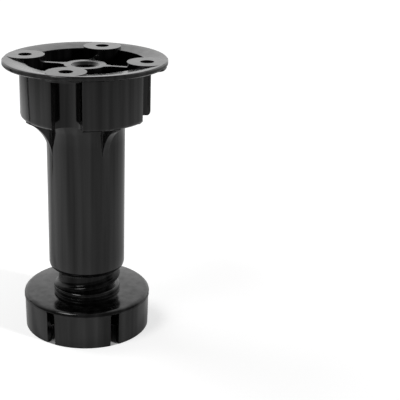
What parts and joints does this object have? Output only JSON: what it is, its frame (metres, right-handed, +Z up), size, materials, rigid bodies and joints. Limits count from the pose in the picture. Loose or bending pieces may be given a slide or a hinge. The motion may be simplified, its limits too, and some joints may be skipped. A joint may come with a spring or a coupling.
{
  "type": "adjustable cabinet leg",
  "caption": "Black plastic cabinet leg: round screw plate on a drum and tube, with a slotted foot disc whose spindle screws in and out to level the cabinet.",
  "frame": {"origin": "centre of the foot's underside, on the floor", "axes": "+Z up along the leg's axis; X and Y along the sides of the square of screw holes"},
  "size_m": [0.0592, 0.0592, 0.1034],
  "materials": {
    "black_plastic": "semi-gloss moulded"
  },
  "bodies": {
    "foot": {"levelling_foot": "black_plastic"},
    "body": {"leg_body": "black_plastic"}
  },
  "joints": [
    {"name": "height_adjust", "type": "slide", "parent": "foot", "child": "body", "axis": [0, 0, 1], "range_m": [-0.007, 0.0166]}
  ]
}
